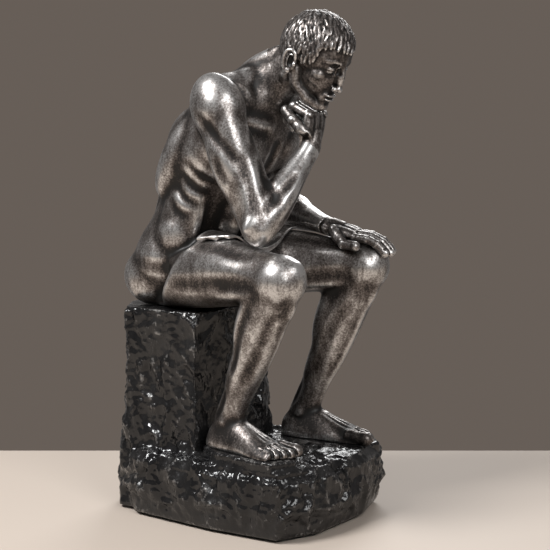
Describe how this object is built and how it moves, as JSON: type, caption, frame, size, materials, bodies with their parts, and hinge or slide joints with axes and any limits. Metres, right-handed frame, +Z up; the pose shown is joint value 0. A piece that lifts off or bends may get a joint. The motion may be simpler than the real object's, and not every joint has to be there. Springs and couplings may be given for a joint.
{
  "type": "seated man statuette",
  "caption": "Cast statuette of a seated man with his chin on his fist, on a rough rock block, in an antique silver patina.",
  "frame": {"origin": "centre of the flat underside of the felt pad", "axes": "+Z up, the man faces -Y and his right side is at -X"},
  "size_m": [0.1256, 0.1434, 0.287],
  "materials": {
    "patina": "antique silver patina, brushed bright on the ridges and near black in the hollows",
    "dark_rock": "satin black with worn silver edges",
    "filling": "rough plaster and stone grit, sealed inside",
    "plate": "matte black sheet",
    "felt": "black felt",
    "steel": "plain ground steel pins, hidden in the joints"
  },
  "bodies": {
    "root": {"rock_base": "dark_rock", "stone_filling": "filling", "closing_plate": "plate", "felt_pad": "felt", "torso": "patina", "head": "patina", "right_arm": "patina", "left_arm": "patina", "right_hand": "patina", "left_hand": "patina", "right_leg": "patina", "left_leg": "patina", "lap_cloth": "patina", "neck_dowel": "steel", "shoulder_dowels": "steel", "hip_dowels": "steel", "wrist_dowels": "steel", "seat_dowels": "steel", "foot_dowels": "steel"}
  },
  "joints": []
}
